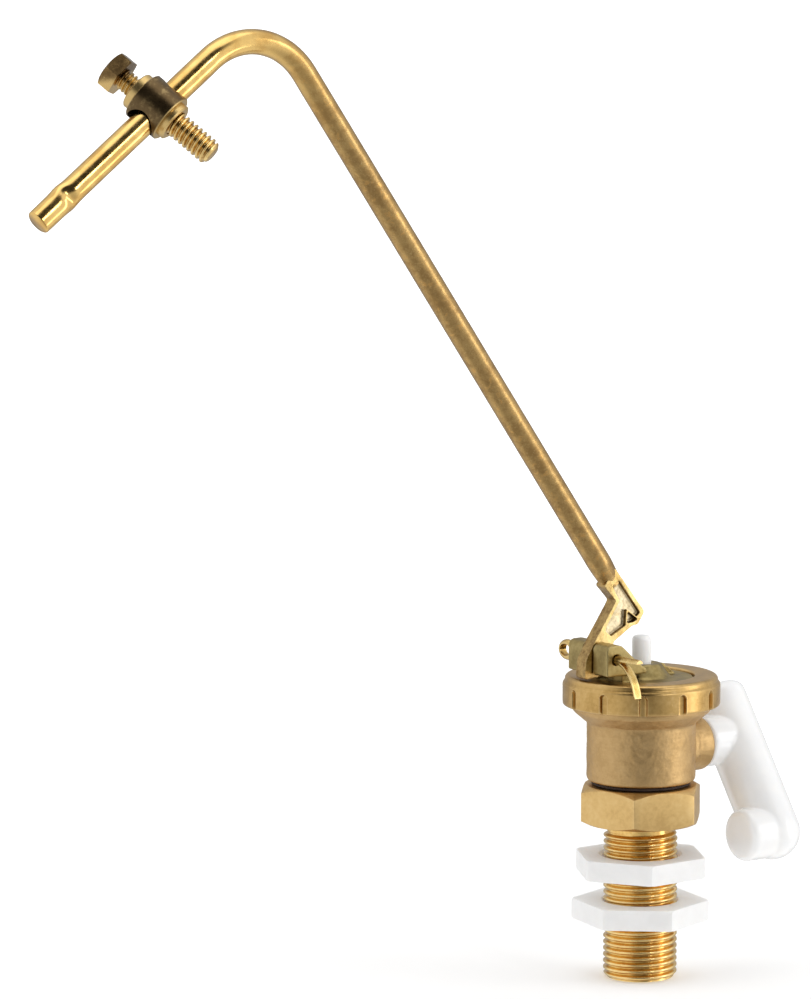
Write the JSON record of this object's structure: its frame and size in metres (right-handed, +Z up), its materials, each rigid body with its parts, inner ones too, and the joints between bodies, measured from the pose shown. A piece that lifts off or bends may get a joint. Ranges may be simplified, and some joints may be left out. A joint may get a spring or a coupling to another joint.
{
  "type": "float valve",
  "caption": "Bottom-entry brass diaphragm float valve: threaded tail with backnuts, hinged bent lever with float clamp, plunger and swivelling discharge elbow.",
  "frame": {"origin": "on the tail's axis, in the plane of the union hexagon's underside", "axes": "+Z up the tail axis, +X towards the outlet boss and -X towards the lever arm, Y along the lever's hinge pin"},
  "size_m": [0.239, 0.0478, 0.2714],
  "materials": {
    "tail_brass": "satin",
    "fibre": "matte fibre",
    "cast_brass": "sand-cast, matte",
    "nozzle_nylon": "moulded",
    "seal_rubber": "matte",
    "plate_brass": "pale, as forged",
    "ring_brass": "turned satin",
    "plunger_plastic": "moulded",
    "pin_brass": "drawn wire",
    "lever_brass": "forged",
    "rod_brass": "drawn satin",
    "clamp_brass": "turned satin",
    "stud_brass": "bright thread",
    "screw_brass": "turned",
    "nut_plastic": "milky moulded",
    "elbow_plastic": "glossy moulded"
  },
  "bodies": {
    "valve": {"tail_piece": "tail_brass", "body_washer": "fibre", "valve_body": "cast_brass", "nozzle_seat": "nozzle_nylon", "nozzle_o_ring": "seal_rubber", "diaphragm": "seal_rubber", "top_plate": "plate_brass", "cap_ring": "ring_brass", "split_pin": "pin_brass"},
    "plunger": {"plunger": "plunger_plastic"},
    "lever": {"lever_end": "lever_brass", "lever_rod": "rod_brass"},
    "clamp": {"float_clamp": "clamp_brass", "float_stud": "stud_brass"},
    "clamp_screw": {"clamp_screw": "screw_brass"},
    "upper_nut": {"backnut_upper": "nut_plastic"},
    "lower_nut": {"backnut_lower": "nut_plastic"},
    "elbow": {"discharge_elbow": "elbow_plastic", "elbow_o_ring": "seal_rubber"}
  },
  "joints": [
    {"name": "lever_hinge", "type": "hinge", "parent": "valve", "child": "lever", "pos_m": [-0.0155, 0, 0.0488], "axis": [0, 1, 0], "range_deg": [0, 22]},
    {"name": "plunger_slide", "type": "slide", "parent": "valve", "child": "plunger", "axis": [0, 0, -1], "range_m": [0, 0.0019]},
    {"name": "clamp_slide", "type": "slide", "parent": "lever", "child": "clamp", "axis": [-0.7912, 0, -0.6115], "range_m": [-0.012, 0.024]},
    {"name": "clamp_screw_travel", "type": "slide", "parent": "clamp", "child": "clamp_screw", "axis": [-0.4746, 0.6307, 0.614], "range_m": [0, 0.0035]},
    {"name": "upper_nut_travel", "type": "slide", "parent": "valve", "child": "upper_nut", "axis": [0, 0, 1], "range_m": [-0.003, 0.0088]},
    {"name": "lower_nut_travel", "type": "slide", "parent": "valve", "child": "lower_nut", "axis": [0, 0, 1], "range_m": [-0.014, 0.0035]},
    {"name": "elbow_swivel", "type": "hinge", "parent": "valve", "child": "elbow", "pos_m": [0.0334, 0, 0.0206], "axis": [1, 0, 0], "continuous": true}
  ],
  "couplings": [
    {"joint": "plunger_slide", "follows": "lever_hinge", "m_per_rad": 0.0049222}
  ]
}
